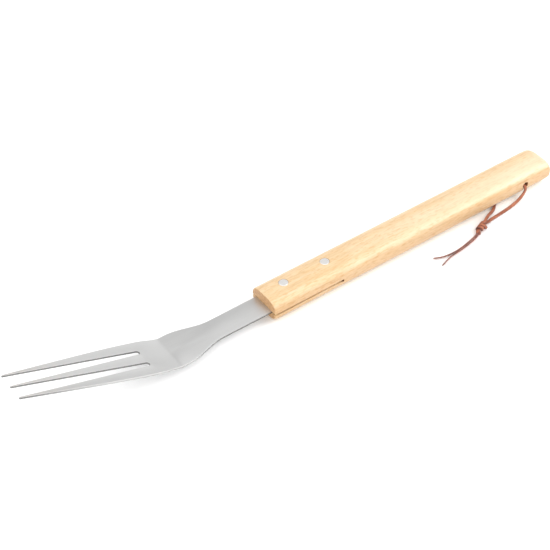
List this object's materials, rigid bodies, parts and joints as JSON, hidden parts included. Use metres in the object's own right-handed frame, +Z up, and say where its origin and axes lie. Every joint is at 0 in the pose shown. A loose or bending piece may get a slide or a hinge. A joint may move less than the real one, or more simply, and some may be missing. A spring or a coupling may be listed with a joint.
{
  "type": "barbecue fork",
  "caption": "Long-handled grill fork with tapered tines on an upswept head, a flat shank riveted into a wooden handle, and a knotted leather thong for hanging.",
  "frame": {"origin": "on the surface the fork lies on, under the middle of its length and on its centre line", "axes": "+X along the fork towards the butt of the handle, tines towards -X; +Y to the side where the far strand of the thong leaves the handle; +Z up, away from the surface"},
  "size_m": [0.4229, 0.0509, 0.0469],
  "materials": {
    "wood": "clear-oiled pale hardwood",
    "steel": "satin stainless sheet",
    "rivet_metal": "dressed flush",
    "leather": "reddish-brown, smooth grain side"
  },
  "bodies": {
    "root": {"handle": "wood", "fork_blade": "steel", "front_rivet": "rivet_metal", "rear_rivet": "rivet_metal", "thong_near_strand": "leather", "thong_far_strand": "leather", "thong_knot": "leather", "thong_near_tail": "leather", "thong_far_tail": "leather"}
  },
  "joints": []
}
